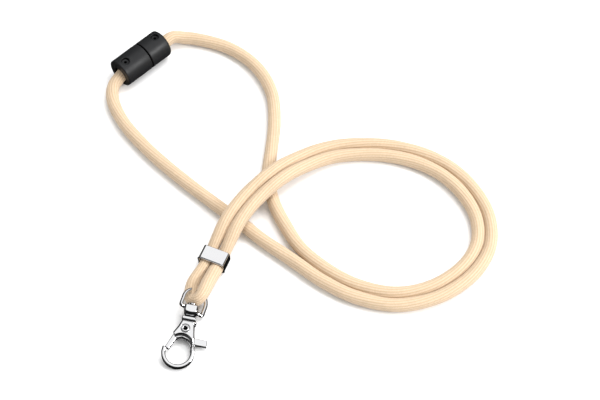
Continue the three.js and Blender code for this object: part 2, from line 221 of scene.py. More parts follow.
# The middle of the doubled run, from near the clamp round to where its two strands part.
DOUBLED_RUN = [
    (0.0256, -0.0250, 0.0058),
    (0.0290, -0.0182, 0.0082),
    (0.0332, -0.0112, 0.0088),
    (0.0382, -0.0044, 0.0086),
    (0.0446, 0.0024, 0.0088),
    (0.0514, 0.0088, 0.0074),
    (0.0586, 0.0144, 0.0052),
    (0.0665, 0.0190, 0.0036),
    (0.0750, 0.0216, 0.0029),
    (0.0910, 0.0220, 0.0029),
    (0.1060, 0.0186, 0.0029),
    (0.1185, 0.0116, 0.0029),
    (0.1280, 0.0008, 0.0029),
    (0.1334, -0.0126, 0.0029),
    (0.1328, -0.0262, 0.0029),
    (0.1256, -0.0382, 0.0029),
    (0.1120, -0.0480, 0.0029),
    (0.0960, -0.0516, 0.0029),
    (0.0806, -0.0482, 0.0029),
    (0.0680, -0.0412, 0.0029),
]

# The outer strand's own way, under the doubled run and up to the barrel's socket half.
OUTER_TAIL = [
    (0.0540, -0.0334, 0.0029),
    (0.0412, -0.0234, 0.0029),
    (0.0330, -0.0160, 0.0029),
    (0.0220, -0.0066, 0.0029),
    (0.0054, 0.0080, 0.0029),
    (-0.0092, 0.0226, 0.0029),
    (-0.0203, 0.0368, 0.0029),
    (-0.0257, 0.0488, 0.0030),
    (-0.0258, 0.0560, 0.0038),
]

# The inner strand's own way, under the doubled run and round to the barrel's plug half.
INNER_TAIL = [
    (0.0574, -0.0276, 0.0029),
    (0.0506, -0.0160, 0.0029),
    (0.0456, -0.0040, 0.0029),
    (0.0434, 0.0080, 0.0029),
    (0.0446, 0.0216, 0.0029),
    (0.0458, 0.0360, 0.0029),
    (0.0444, 0.0530, 0.0029),
    (0.0374, 0.0674, 0.0029),
    (0.0250, 0.0782, 0.0029),
    (0.0100, 0.0833, 0.0032),
    (0.0044, 0.0837, 0.0037),
    (-0.0006, 0.0828, 0.0052),
]


def placed(centre, yaw, pitch=0, roll=0):
    """The place of a part turned by yaw about Z, then pitch about X, then roll about Y."""
    turn = Matrix.Identity(4)
    for angle, axis in ((yaw, "Z"), (pitch, "X"), (roll, "Y")):
        turn = turn @ Matrix.Rotation(radians(angle), 4, axis)
    return Matrix.Translation(centre) @ turn


clamp_place = placed(CLAMP_CENTRE, CLAMP_YAW, CLAMP_PITCH)
barrel_place = placed(BARREL_CENTRE, BARREL_YAW)


SPAN_SAMPLES = 50


def smooth_path(rows, step):
    """Points one step apart along the centripetal Catmull-Rom curve through the rows."""
    knots = np.array([tuple(row) for row in rows])
    knots = np.vstack([2 * knots[0] - knots[1], knots, 2 * knots[-1] - knots[-2]])
    share = np.linspace(0, 1, SPAN_SAMPLES, endpoint=False)[:, None]
    pieces = []
    for a, b, c, d in zip(knots, knots[1:], knots[2:], knots[3:]):
        ab, bc, cd = (np.linalg.norm(q - p) ** 0.5 for p, q in ((a, b), (b, c), (c, d)))
        leave = bc * ((b - a) / ab - (c - a) / (ab + bc) + (c - b) / bc)
        arrive = bc * ((c - b) / bc - (d - b) / (bc + cd) + (d - c) / cd)
        square = 3 * (c - b) - 2 * leave - arrive
        cube = 2 * (b - c) + leave + arrive
        pieces.append(b + share * leave + share**2 * square + share**3 * cube)
    line = np.vstack([*pieces, knots[-2:-1]])
    walked = np.append(0, np.cumsum(np.linalg.norm(np.diff(line, axis=0), axis=1)))
    stops = np.linspace(0, walked[-1], round(walked[-1] / step) + 1)
    return np.column_stack([np.interp(stops, walked, line[:, k]) for k in range(3)])


def beside_run(rows, side):
    """One strand beside the doubled run's middle: side +1 is on the left of the way round."""
    shifted = []
    for i, row in enumerate(rows):
        before, after = Vector(rows[max(i - 1, 0)]), Vector(rows[min(i + 1, len(rows) - 1)])
        along = (after - before).to_2d().normalized() * (side * STRAND_SPACING / 2)
        shifted.append((row[0] - along.y, row[1] + along.x, row[2]))
    return shifted


def braided_tube(name, path, sections, twist, seed):
    """A closed braided tube along the path. sections rows are (distance along, half width,
    half height), and twist is the turns of the braid in a metre."""
    walked = np.append(0, np.cumsum(np.linalg.norm(np.diff(path, axis=0), axis=1)))
    at, widths, heights = np.array(sections).T
    half_width = np.interp(walked, at, widths)[:, None]
    half_height = np.interp(walked, at, heights)[:, None]
    forward = np.gradient(path, axis=0)
    forward /= np.linalg.norm(forward, axis=1)[:, None]
    side = np.cross(forward, (0, 0, 1))
    side /= np.linalg.norm(side, axis=1)[:, None]
    rise = np.cross(side, forward)

    share = np.arange(CORD_SIDES) / CORD_SIDES
    turned_by = twist * walked[:, None]
    angle = 2 * pi * (share[None, :] + turned_by)
    column = np.mod(share * BRAID_COLUMNS, 1)
    ridges = 1 - np.abs(2 * column - 1) ** RIDGE_POWER
    draw = np.random.default_rng(seed)
    swell = 1 + RIDGE_DEPTH * (ridges[None, :] - 1)
    for crease in draw.uniform(0, 1, CREASES):
        wave = walked[:, None] / CREASE_WAVE + crease * CREASE_SCATTER
        wander = CREASE_WANDER * np.sin(2 * pi * wave)
        apart = np.mod(share[None, :] - crease - wander + 0.5, 1) - 0.5
        swell = swell - CREASE_DEPTH * np.exp(-((apart / CREASE_WIDTH) ** 2))
    for turns in range(SWELLS):
        length, start = draw.uniform(*SWELL_LENGTHS), draw.uniform(0, 2 * pi)
        wave = 2 * pi * walked[:, None] / length + start + 2 * turns * angle
        swell = swell + SWELL_DEPTH * np.sin(wave)
    across = (half_width * swell * np.cos(angle))[:, :, None] * side[:, None, :]
    upward = (half_height * swell * np.sin(angle))[:, :, None] * rise[:, None, :]
    points = (path[:, None, :] + across + upward).reshape(-1, 3)

    rings = len(path)
    ring, place = np.meshgrid(np.arange(rings - 1), np.arange(CORD_SIDES), indexing="ij")
    after = (place + 1) % CORD_SIDES
    corners = [
        ring * CORD_SIDES + place,
        ring * CORD_SIDES + after,
        (ring + 1) * CORD_SIDES + after,
        (ring + 1) * CORD_SIDES + place,
    ]
    quads = np.stack(corners, -1).reshape(-1, 4)
    first = list(range(CORD_SIDES))[::-1]
    last = [(rings - 1) * CORD_SIDES + k for k in range(CORD_SIDES)]
    mesh = bpy.data.meshes.new(name)
    mesh.from_pydata(points, [], [*quads.tolist(), first, last])

    lay = mesh.uv_layers.new(name="braid_lay")
    wall = np.empty((len(quads), 4, 2))
    wall[..., 0] = np.stack([place, place + 1, place + 1, place], -1).reshape(-1, 4) / CORD_SIDES
    wall[..., 1] = walked[np.stack([ring, ring, ring + 1, ring + 1], -1).reshape(-1, 4)]
    caps = np.zeros((2 * CORD_SIDES, 2))
    lay.data.foreach_set("uv", np.vstack([wall.reshape(-1, 2), caps]).ravel())
    mesh.shade_smooth()
    tube = bpy.data.objects.new(name, mesh)
    bpy.context.scene.collection.objects.link(tube)
    return tube


def effect_group(name, inputs, outputs):
    """A shader node group of float sockets, as (group, its input sockets, its output node)."""
    group = bpy.data.node_groups.new(name, "ShaderNodeTree")
    for label, value in inputs.items():
        socket = group.interface.new_socket(label, in_out="INPUT", socket_type="NodeSocketFloat")
        socket.default_value = value
    for label in outputs:
        group.interface.new_socket(label, in_out="OUTPUT", socket_type="NodeSocketFloat")
    given = group.nodes.new("NodeGroupInput").outputs
    return group, given, group.nodes.new("NodeGroupOutput")


def hump(tree, share, power):
    """1 at the middle of a share from 0 to 1, falling to 0 at both ends."""
    off = calc(tree, "ABSOLUTE", calc(tree, "MULTIPLY_ADD", share, 2.0, -1.0))
    return calc(tree, "SUBTRACT", 1.0, calc(tree, "POWER", off, power))


# Columns of slanting plaits: Height is their relief, Plait their tone from one to the next
# and Valley is 1 between the columns.
braid, given, result = effect_group(
    "braid_plaits",
    {
        "Around": 0, "Along": 0, "Columns": BRAID_COLUMNS, "Pitch": BRAID_PITCH,
        "Slant": BRAID_SLANT,
    },
    ["Height", "Plait", "Valley"],
)
around = calc(braid, "MULTIPLY", given["Around"], given["Columns"])
column = calc(braid, "FLOOR", around)
across = calc(braid, "SUBTRACT", around, column)
odd = calc(braid, "MODULO", column, 2.0)
way = calc(braid, "SUBTRACT", calc(braid, "MULTIPLY", odd, 2.0), 1.0)
lean = calc(braid, "MULTIPLY", way, given["Slant"])
leaning = calc(braid, "MULTIPLY", calc(braid, "SUBTRACT", across, 0.5), lean)
steps = calc(braid, "DIVIDE", given["Along"], given["Pitch"])
phase = calc(braid, "ADD", calc(braid, "ADD", steps, leaning), calc(braid, "MULTIPLY", odd, 0.5))
plait = calc(braid, "FLOOR", phase)
within = calc(braid, "SUBTRACT", phase, plait)
ridge = hump(braid, across, RIDGE_POWER)
bead = calc(
    braid, "MULTIPLY_ADD", hump(braid, within, BEAD_POWER), BEAD_SHARE, 1 - BEAD_SHARE
)
relief = calc(braid, "MULTIPLY", ridge, bead)
spot = add(braid, "CombineXYZ", {"X": column, "Y": plait}).outputs[0]
tone = add(braid, "TexWhiteNoise", {"Vector": spot}, noise_dimensions="3D").outputs["Value"]
for label, value in (("Height", relief), ("Plait", tone)):
    braid.links.new(value, result.inputs[label])
braid.links.new(calc(braid, "SUBTRACT", 1.0, ridge), result.inputs["Valley"])

CORD_COLOUR = (0.645, 0.503, 0.357, 1)
# The valley colour and the shade shares below paint shade into the braid's valleys and gaps.
CORD_SHADE_COLOUR = (0.42, 0.265, 0.125, 1)
VALLEY_SHADE = 0.55
GAP_SHADE = 0.4
WHOLE_SHADE = 0.65
PLAIT_SPREAD = 0.07
UNEVEN_SPREAD = 0.08
PLAIT_RELIEF = 0.00018

cord_finish, tree, shader = new_material(
    "cream_braid",
    {
        "Roughness": 0.8,
        "Specular IOR Level": 0.3,
        "Sheen Weight": 0.2,
        "Sheen Roughness": 0.45,
    },
)
lay = add(tree, "UVMap", uv_map="braid_lay").outputs["UV"]
lay_parts = add(tree, "SeparateXYZ", {"Vector": lay}).outputs
plaits = add(
    tree, "Group", {"Around": lay_parts["X"], "Along": lay_parts["Y"]}, node_tree=braid
).outputs

# Painted shade: the yarn is darker between the columns and between the plaits in each, where
# shade falls. The Mix node's two colours are its sockets 6 and 7, and the mixed colour is its
# output 2.
valley = calc(tree, "MULTIPLY", plaits["Valley"], VALLEY_SHADE)
gap = calc(tree, "MULTIPLY", calc(tree, "SUBTRACT", 1.0, plaits["Height"]), GAP_SHADE)
dark = calc(tree, "MULTIPLY", calc(tree, "ADD", valley, gap), WHOLE_SHADE)
yarn_and_shade = add(
    tree, "Mix", {"Factor": dark, 6: CORD_COLOUR, 7: CORD_SHADE_COLOUR}, data_type="RGBA"
).outputs[2]

# Each plait takes the light a little differently, and the dye is a little uneven.
uneven = add(tree, "TexNoise", {"Scale": 55.0, "Detail": 3.0}).outputs["Fac"]
plait_tone = calc(
    tree, "MULTIPLY_ADD", plaits["Plait"], PLAIT_SPREAD, 1 - PLAIT_SPREAD / 2
)
dye_tone = calc(tree, "MULTIPLY_ADD", uneven, UNEVEN_SPREAD, 1 - UNEVEN_SPREAD / 2)
strength = calc(tree, "MULTIPLY", plait_tone, dye_tone)
tinted = add(tree, "VectorMath", {0: yarn_and_shade, "Scale": strength}, operation="SCALE").outputs[0]
tree.links.new(tinted, shader.inputs["Base Color"])
bump = add(
    tree, "Bump", {"Strength": 0.8, "Distance": PLAIT_RELIEF, "Height": plaits["Height"]}
)
tree.links.new(bump.outputs[0], shader.inputs["Normal"])

START_SIDE, START_IN_CLAMP = 0.0025, 0.0005
MOUTH_CLEAR = 0.0006
CLAMPED_HALF_WIDTH, CLAMPED_HALF_HEIGHT = 0.00245, 0.0024
FREE_HALF_WIDTH, FREE_HALF_HEIGHT = 0.0028, 0.00288
CLAMPED_TO, FREE_FROM = 0.004, 0.012
STRAND_TWIST = 3.0


def neck_strand(name, node, side, tail, seat, seed):
    """One strand: out of the clamp, round the doubled run, and alone into the barrel's bore."""
    start = clamp_place @ Vector((-side * START_SIDE, START_IN_CLAMP, 0))
    mouth = clamp_place @ Vector((0, CLAMP_LENGTH / 2 + MOUTH_CLEAR, 0))
    route = [start, *beside_run([tuple(mouth), *DOUBLED_RUN], side), *tail, barrel_place @ seat]
    path = smooth_path(route, CORD_RING)
    sections = [
        (CLAMPED_TO, CLAMPED_HALF_WIDTH, CLAMPED_HALF_HEIGHT),
        (FREE_FROM, FREE_HALF_WIDTH, FREE_HALF_HEIGHT),
    ]
    tube = braided_tube(name, path, sections, STRAND_TWIST, seed)
    tube.data.materials.append(cord_finish)
    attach(tube, "lanyard")
    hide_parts(node)


SOCKET_SEAT = Vector((-SOCKET_HALF_LENGTH + CORD_SEAT_DEPTH, 0, -CORD_BORE_DROP))
PLUG_SEAT = Vector((PLUG_HALF_LENGTH - CORD_SEAT_DEPTH, 0, -CORD_BORE_DROP))
neck_strand(
    "braided_outer_strand", "cord_outer_strand", side=1, tail=OUTER_TAIL, seat=SOCKET_SEAT,
    seed=3,
)
neck_strand(
    "braided_inner_strand", "cord_inner_strand", side=-1, tail=INNER_TAIL, seat=PLUG_SEAT,
    seed=8,
)


# ---------------------------------------------------------------------------- fold of the cord
# The end of the loop, in the same braid: both strands leave the clamp and meet in one tight
# turn inside the eye, the left leg under the bow and the right leg over it. The clamp and the
# tight turn press it slimmer.

EYE_CENTRE = (0.0136, -0.0578, 0.0050)
EYE_YAW = -16
FOLD_SIDE_IN_CLAMP = 0.00255
FOLD_END_IN_CLAMP = 0.0002
FOLD_RING = 0.0005
FOLD_TWIST = 2.0
FOLD_TURN = [
    (-0.0038, 0.0135, -0.0022),
    (-0.0035, 0.0096, -0.0024),
    (-0.0028, 0.0071, -0.0021),
    (-0.0015, 0.0055, -0.0013),
    (0.0002, 0.0050, -0.0001),
    (0.0016, 0.0058, 0.0012),
    (0.0023, 0.0077, 0.0018),
    (0.0026, 0.0104, 0.0017),
    (0.0026, 0.0138, 0.0006),
]
FOLD_SECTIONS = [
    (0, 0.00240, 0.00235),
    (0.0070, 0.00240, 0.00235),
    (0.0130, 0.00270, 0.00270),
    (0.0210, 0.00265, 0.00265),
    (0.0270, 0.00255, 0.00265),
    (0.0330, 0.00280, 0.00265),
    (0.0420, 0.00290, 0.00275),
    (0.0480, 0.00240, 0.00235),
    (0.0550, 0.00240, 0.00235),
]

eye_level = placed(EYE_CENTRE, EYE_YAW)
fold_route = [
    clamp_place @ Vector((-FOLD_SIDE_IN_CLAMP, FOLD_END_IN_CLAMP, 0)),
    clamp_place @ Vector((-FOLD_SIDE_IN_CLAMP, -CLAMP_LENGTH / 2, 0)),
    *(eye_level @ Vector(row) for row in FOLD_TURN),
    clamp_place @ Vector((FOLD_SIDE_IN_CLAMP, -CLAMP_LENGTH / 2, 0)),
    clamp_place @ Vector((FOLD_SIDE_IN_CLAMP, FOLD_END_IN_CLAMP, 0)),
]
fold_path = smooth_path(fold_route, FOLD_RING)
fold = braided_tube("braided_fold", fold_path, FOLD_SECTIONS, FOLD_TWIST, seed=5)
fold.data.materials.append(cord_finish)
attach(fold, "lanyard")
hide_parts("cord_fold")


# --------------------------------------------------------------------------- breakaway barrel
# Two moulded halves of satin charcoal plastic that pull apart at the seam under a hard tug.
# The plug half's spigot closes the seam inside. Each half has a bore for the cord, and over
# the pin that holds it a shallow round well.

BARREL_RADIUS = 0.0065
SEAM_GAP = 0.0003
SEAM_ROUND = 0.0004
SPIGOT_RADIUS = 0.0056
SOCKET_END_ROUND = 0.0005
PLUG_END_ROUND = 0.0011
CORD_BORE_RADIUS = 0.0036
CORD_BORE_DEPTH = 0.0034
CORD_BORE_EDGE = 0.0003
PIN_WELL_RADIUS = 0.0018
PIN_WELL_FLOOR = 0.0056
PIN_WELL_EDGE = 0.00025
PIN_HOLE_RADIUS = 0.0006
PIN_HOLE_FLOOR = 0.0042
FINE_EDGE = 0.0001
SOCKET_PIN, SOCKET_PIN_TILT = -0.0105, radians(6)
PLUG_PIN, PLUG_PIN_TILT = 0.0077, radians(-4)
BARREL_CELL = 0.00022

# Which faces get painted shade as recessed: under the skin of a well, inside the bore, or facing
# the seam.
RECESS_EDGE = 0.0003
RECESS_SKIN = 0.00015
BORE_WALL = 0.0001
SEAM_FACE = 0.0002
PIN_HEAD_FROM = PIN_HOLE_RADIUS * 1.15


def both(a, b, edge):
    """Distance to what two solids share, with their common edge rounded off."""
    past = np.hypot(np.maximum(a + edge, 0), np.maximum(b + edge, 0))
    return np.minimum(np.maximum(a, b), -edge) + past


def either(a, b, fillet):
    """Distance to two solids as one, with the corner between them filled in."""
    return -both(-a, -b, fillet)


def cut(a, b, edge):
    """Distance to a solid less another, with the new edge rounded off."""
    return both(a, -b, edge)


def slab(x, low, high):
    """Distance to the layer between two flat faces."""
    return np.abs(x - (low + high) / 2) - (high - low) / 2


# A cast mesh settles in a few rounds. The solid's slope is probed over a part of a cell and
# taken as no flatter than the least slope. Where the solid's own normals turn away from the
# mesh's by more than the smooth angle, the edge counts as sharp.
SETTLE_ROUNDS = 4
PROBE_PART = 50
LEAST_SLOPE = 0.25
TINY = 1e-12
SMOOTH_WITHIN = cos(radians(16))


def cast(name, distance, box, cell, place):
    """A closed mesh of the solid whose distance(x, y, z) is below zero in the box, put in its
    place. Its quads join the grid's crossed cells and settle onto the exact surface. Its
    normals are the solid's own, but along sharp edges they are the mesh's."""
    grid = [np.arange(low - 2 * cell, high + 3 * cell, cell) for low, high in zip(*box)]
    inside = distance(*np.meshgrid(*grid, indexing="ij", sparse=True)) < 0
    halves = [inside[:-1].astype(int) + inside[1:]]
    halves.append(halves[-1][:, :-1] + halves[-1][:, 1:])
    filled = halves[-1][:, :, :-1] + halves[-1][:, :, 1:]
    crossed = (filled > 0) & (filled < 8)
    number = np.full(crossed.shape, -1)
    number[crossed] = np.arange(crossed.sum())
    points = np.array([line[0] for line in grid]) + cell * (np.argwhere(crossed) + 0.5)
    quads = []
    for axis in range(3):
        order = (axis, (axis + 1) % 3, (axis + 2) % 3)
        solid, cells = inside.transpose(order), number.transpose(order)
        start, end = solid[:-1, 1:-1, 1:-1], solid[1:, 1:-1, 1:-1]
        ring = [cells[:, :-1, :-1], cells[:, 1:, :-1], cells[:, 1:, 1:], cells[:, :-1, 1:]]
        quads.append(np.stack([corner[start & ~end] for corner in ring], -1))
        quads.append(np.stack([corner[end & ~start] for corner in ring[::-1]], -1))
    quads = np.vstack(quads)

    from_end, to_end = np.vstack([quads[:, [k, (k + 1) % 4]] for k in range(4)]).T
    neighbours = np.bincount(from_end, minlength=len(points))
    probe = cell / PROBE_PART
    for _ in range(SETTLE_ROUNDS):
        pull = [np.bincount(from_end, points[to_end, k], len(points)) for k in range(3)]
        points = (points + np.stack(pull, -1) / neighbours[:, None]) / 2
        off = distance(*points.T)
        slope = np.stack(
            [distance(*(points + probe * unit).T) - off for unit in np.eye(3)], -1
        ) / probe
        steep = np.maximum((slope**2).sum(1), LEAST_SLOPE)
        points = points - slope * (off / steep)[:, None]

    rise = np.stack([distance(*(points + probe * unit).T) for unit in np.eye(3)], -1)
    fall = np.stack([distance(*(points - probe * unit).T) for unit in np.eye(3)], -1)
    exact = (rise - fall) @ np.array(place.to_3x3()).T
    exact /= np.maximum(np.linalg.norm(exact, axis=1), TINY)[:, None]

    mesh = bpy.data.meshes.new(name)
    mesh.from_pydata(points, [], quads.tolist())
    mesh.transform(place)
    mesh.shade_smooth()
    meshed = np.array([tuple(corner.vector) for corner in mesh.vertex_normals])
    apart = (meshed * exact).sum(1) < SMOOTH_WITHIN
    ends = np.array([tuple(side.vertices) for side in mesh.edges])
    near = np.bincount(ends.ravel(), apart[ends[:, ::-1]].ravel(), len(meshed))
    agree = ~apart & (near == 0)
    chosen = np.where(agree[:, None], exact, meshed)
    eased = chosen.copy()
    for here, there in (ends.T, ends.T[::-1]):
        np.add.at(eased, here, chosen[there])
    eased /= np.maximum(np.linalg.norm(eased, axis=1), TINY)[:, None]
    mesh.normals_split_custom_set_from_vertices(eased)
    made = bpy.data.objects.new(name, mesh)
    bpy.context.scene.collection.objects.link(made)
    return made


# Size is the grain's size in metres, and Amount is how far it moves the roughness.
grain, given, result = effect_group(
    "fine_grain", {"Size": 0.0003, "Amount": 0.1}, ["Height", "Roughness"]
)
grain_place = add(grain, "TexCoord").outputs["Object"]
per_metre = calc(grain, "DIVIDE", 1.0, given["Size"])
speckle = add(grain, "TexNoise", {"Vector": grain_place, "Scale": per_metre, "Detail": 2.0})
smear = add(grain, "TexNoise", {"Vector": grain_place, "Scale": 240.0, "Detail": 4.0})
centred = calc(grain, "SUBTRACT", smear.outputs["Fac"], 0.5)
spread = calc(grain, "MULTIPLY", given["Amount"], centred)
grain.links.new(speckle.outputs["Fac"], result.inputs["Height"])
grain.links.new(spread, result.inputs["Roughness"])


def grained_material(name, values, size, amount, roughness, relief):
    """A hard finish whose roughness and surface follow the fine grain."""
    material, tree, shader = new_material(name, values)
    marks = add(tree, "Group", {"Size": size, "Amount": amount}, node_tree=grain).outputs
    rough = calc(tree, "ADD", roughness, marks["Roughness"])
    bump = add(tree, "Bump", {"Strength": 0.5, "Distance": relief, "Height": marks["Height"]})
    tree.links.new(rough, shader.inputs["Roughness"])
    tree.links.new(bump.outputs[0], shader.inputs["Normal"])
    return material


CHARCOAL = (0.0125, 0.013, 0.014, 1)
# The recess colour is painted shade: near black where shade falls in the wells, the bore and the
# seam.
RECESS_SHADE_COLOUR = (0.0015, 0.0015, 0.0015, 1)
charcoal_painted_shade = grained_material(
    "charcoal_painted_shade", {"Base Color": RECESS_SHADE_COLOUR, "Specular IOR Level": 0.1},
    size=0.0003, amount=0.2, roughness=0.7, relief=0.00002,
)
charcoal_plastic = grained_material(
    "charcoal_plastic", {"Base Color": CHARCOAL, "Specular IOR Level": 0.3},
    size=0.0003, amount=0.3, roughness=0.45, relief=0.00002,
)


def darken(piece, finish, place, recessed):
    """Paint shade on the faces whose centre, as seen from the place, is recessed: they get the
    darker material.
    """
    piece.data.materials.append(finish)
    own = place.inverted()
    for face in piece.data.polygons:
        if recessed(own @ face.center):
            face.material_index = 1


def barrel_half(name, node, seam, end, end_round, pin, tilt):
    """One half, round about X from the seam to its outer end, with its pin's well on top."""
    out = 1 if end > 0 else -1

    def distance(x, y, z):
        radius = np.hypot(y, z)
        shell = both(radius - BARREL_RADIUS, out * (x - end), end_round)
        shell = both(shell, out * (seam - x), SEAM_ROUND)
        if out > 0:
            spigot = np.maximum(radius - SPIGOT_RADIUS, slab(x, -seam, end / 2))
            shell = np.minimum(shell, spigot)
        from_bore = np.hypot(y, z + CORD_BORE_DROP)
        bore = np.maximum(from_bore - CORD_BORE_RADIUS, out * (end - out * CORD_BORE_DEPTH - x))
        from_pin = np.hypot(x - pin, y * cos(tilt) + z * sin(tilt))
        level = z * cos(tilt) - y * sin(tilt)
        well = np.maximum(from_pin - PIN_WELL_RADIUS, PIN_WELL_FLOOR - level)
        hole = np.maximum(from_pin - PIN_HOLE_RADIUS, PIN_HOLE_FLOOR - level)
        shell = cut(shell, bore, CORD_BORE_EDGE)
        return cut(cut(shell, well, PIN_WELL_EDGE), hole, FINE_EDGE)

    low, high = sorted((min(seam, -seam), end))
    box = ((low, -BARREL_RADIUS, -BARREL_RADIUS), (high, BARREL_RADIUS, BARREL_RADIUS))
    half = cast(name, distance, box, BARREL_CELL, barrel_place)
    half.data.materials.append(charcoal_plastic)

    def recessed(centre):
        x, y, z = centre
        radius = np.hypot(y, z)
        from_pin = np.hypot(x - pin, y * cos(tilt) + z * sin(tilt))
        at_pin = z > 0 and radius < BARREL_RADIUS - RECESS_SKIN
        at_pin = at_pin and from_pin < PIN_WELL_RADIUS + RECESS_EDGE
        on_pin_head = PIN_HEAD_FROM < from_pin < PIN_WELL_RADIUS - RECESS_EDGE
        from_bore = np.hypot(y, z + CORD_BORE_DROP)
        in_bore = from_bore < CORD_BORE_RADIUS + BORE_WALL and out * (end - x) > RECESS_EDGE
        return out * (x - seam) < SEAM_FACE or in_bore or (at_pin and not on_pin_head)

    # The well, the bore and the seam faces get painted shade, a near-black plastic for the shade
    # that falls in them.
    darken(half, charcoal_painted_shade, barrel_place, recessed)
    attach(half, "lanyard")
    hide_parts(node)


barrel_half(
    "barrel_socket_half", "breakaway_socket_half", -SEAM_GAP / 2, -SOCKET_HALF_LENGTH,
    SOCKET_END_ROUND, SOCKET_PIN, SOCKET_PIN_TILT,
)
barrel_half(
    "barrel_plug_half", "breakaway_plug_half", SEAM_GAP / 2, PLUG_HALF_LENGTH,
    PLUG_END_ROUND, PLUG_PIN, PLUG_PIN_TILT,
)


# --------------------------------------------------------------------------------- clamp band
# One strip of bright chromed steel, bent into a flattened tube and pressed round both strands
# of the cord. Its lower mouth flares a little, and its face is plain.

CLAMP_WIDTH = 0.0114
CLAMP_HEIGHT = 0.0064
CLAMP_WALL = 0.0007
CLAMP_LEFT_CORNER = 0.0010
CLAMP_RIGHT_CORNER = 0.0015
CLAMP_RIM_ROUND = 0.00025
CLAMP_FLARE = 0.00035
CLAMP_FLARE_FROM = 0.0023
CLAMP_CELL = 0.00015

CHROME_COLOUR = (0.86, 0.86, 0.87, 1)
bright_chrome = grained_material(
    "bright_chrome", {"Base Color": CHROME_COLOUR, "Metallic": 1.0},
    size=0.0008, amount=0.05, roughness=0.07, relief=0.000004,
)


def clamp_distance(x, y, z):
    """The clamp is hollow along Y, and wider along X than it is high along Z."""
    mouth = np.maximum(-y - CLAMP_FLARE_FROM, 0) / (CLAMP_LENGTH / 2 - CLAMP_FLARE_FROM)
    corner = np.where(x > 0, CLAMP_RIGHT_CORNER, CLAMP_LEFT_CORNER)
    outer = both(
        slab(x, -CLAMP_WIDTH / 2, CLAMP_WIDTH / 2),
        slab(z, -CLAMP_HEIGHT / 2, CLAMP_HEIGHT / 2),
        corner,
    )
    outer = outer - CLAMP_FLARE * mouth**2
    wall = np.abs(outer + CLAMP_WALL / 2) - CLAMP_WALL / 2
    return both(wall, slab(y, -CLAMP_LENGTH / 2, CLAMP_LENGTH / 2), CLAMP_RIM_ROUND)


def chromed(name, node, body, distance, box, cell, place):
    """A cast or pressed piece in chrome, riding on its body in its node's place."""
    piece = cast(name, distance, box, cell, place)
    piece.data.materials.append(bright_chrome)
    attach(piece, body)
    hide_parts(node)
    return piece


CLAMP_BOX = (
    (-CLAMP_WIDTH / 2 - CLAMP_FLARE, -CLAMP_LENGTH / 2, -CLAMP_HEIGHT / 2 - CLAMP_FLARE),
    (CLAMP_WIDTH / 2 + CLAMP_FLARE, CLAMP_LENGTH / 2, CLAMP_HEIGHT / 2 + CLAMP_FLARE),
)
chromed(
    "pressed_clamp_band", "clamp_band", "lanyard", clamp_distance, CLAMP_BOX, CLAMP_CELL,
    clamp_place,
)


# -------------------------------------------------------------------------------- swivel eye
# A D-shaped eye, cast in zinc and chromed: a bow of rounded wire on a straight foot, for the
# fold of the cord. The boss in the middle of the foot is bored for the hook's post.

EYE_ROLL = 35
EYE_HALF_WIDTH = 0.0059
EYE_ARCH = 0.0040
EYE_WIRE = 0.00075
EYE_WIRE_ROUND = 0.0006
EYE_FOOT_CORNER = 0.0007
EYE_BOSS_HALF = 0.0027
EYE_BOSS_EDGE = 0.0009
EYE_BOSS_BULGE = 70
EYE_BOSS_BACK = 0.00155
EYE_BOSS_BACK_EDGE = 0.0004
EYE_BOSS_FRONT = -0.0031
EYE_BOSS_ROUND = 0.0022
EYE_BOSS_FILLET = 0.0004
EYE_BORE_EDGE = 0.0002
POST_RADIUS = 0.0012
POST_GAP = 0.00035
EYE_BOX = (
    (-EYE_HALF_WIDTH, -0.0035, -0.0034),
    (EYE_HALF_WIDTH, EYE_ARCH + EYE_HALF_WIDTH, 0.0034),
)
METAL_CELL = 0.00012
HOOK_CENTRE = (0.0134, -0.0578, 0.00508)
HOOK_YAW = -10
HOOK_PITCH = 8.6
HOOK_ROLL = 6

eye_place = placed(EYE_CENTRE, EYE_YAW, 0, EYE_ROLL)
hook_place = placed(HOOK_CENTRE, HOOK_YAW, HOOK_PITCH, HOOK_ROLL)
hook_from_eye = hook_place.inverted() @ eye_place


def eye_distance(x, y, z):
    """The bow lies in the plane of X and Y. The boss is square to the hook's post instead."""
    half = EYE_HALF_WIDTH - EYE_WIRE
    foot = both(np.abs(x) - half, -y, EYE_FOOT_CORNER)
    filled = np.where(y > EYE_ARCH, np.hypot(x, y - EYE_ARCH) - half, foot)
    wire = both(np.abs(filled) - EYE_WIRE, np.abs(z) - EYE_WIRE, EYE_WIRE_ROUND)
    across, along, above = (
        row[0] * x + row[1] * y + row[2] * z + row[3] for row in hook_from_eye[:3]
    )
    boss = both(np.abs(across) - EYE_BOSS_HALF, np.abs(above) - EYE_BOSS_HALF, EYE_BOSS_EDGE)
    front = EYE_BOSS_FRONT + EYE_BOSS_BULGE * across**2
    boss = both(boss, front - along, EYE_BOSS_ROUND)
    boss = both(boss, along - EYE_BOSS_BACK, EYE_BOSS_BACK_EDGE)
    bore = np.hypot(across, above) - (POST_RADIUS + POST_GAP)
    return cut(either(wire, boss, EYE_BOSS_FILLET), bore, EYE_BORE_EDGE)


chromed(
    "cast_swivel_eye", "swivel_eye", "lanyard", eye_distance, EYE_BOX, METAL_CELL, eye_place
)
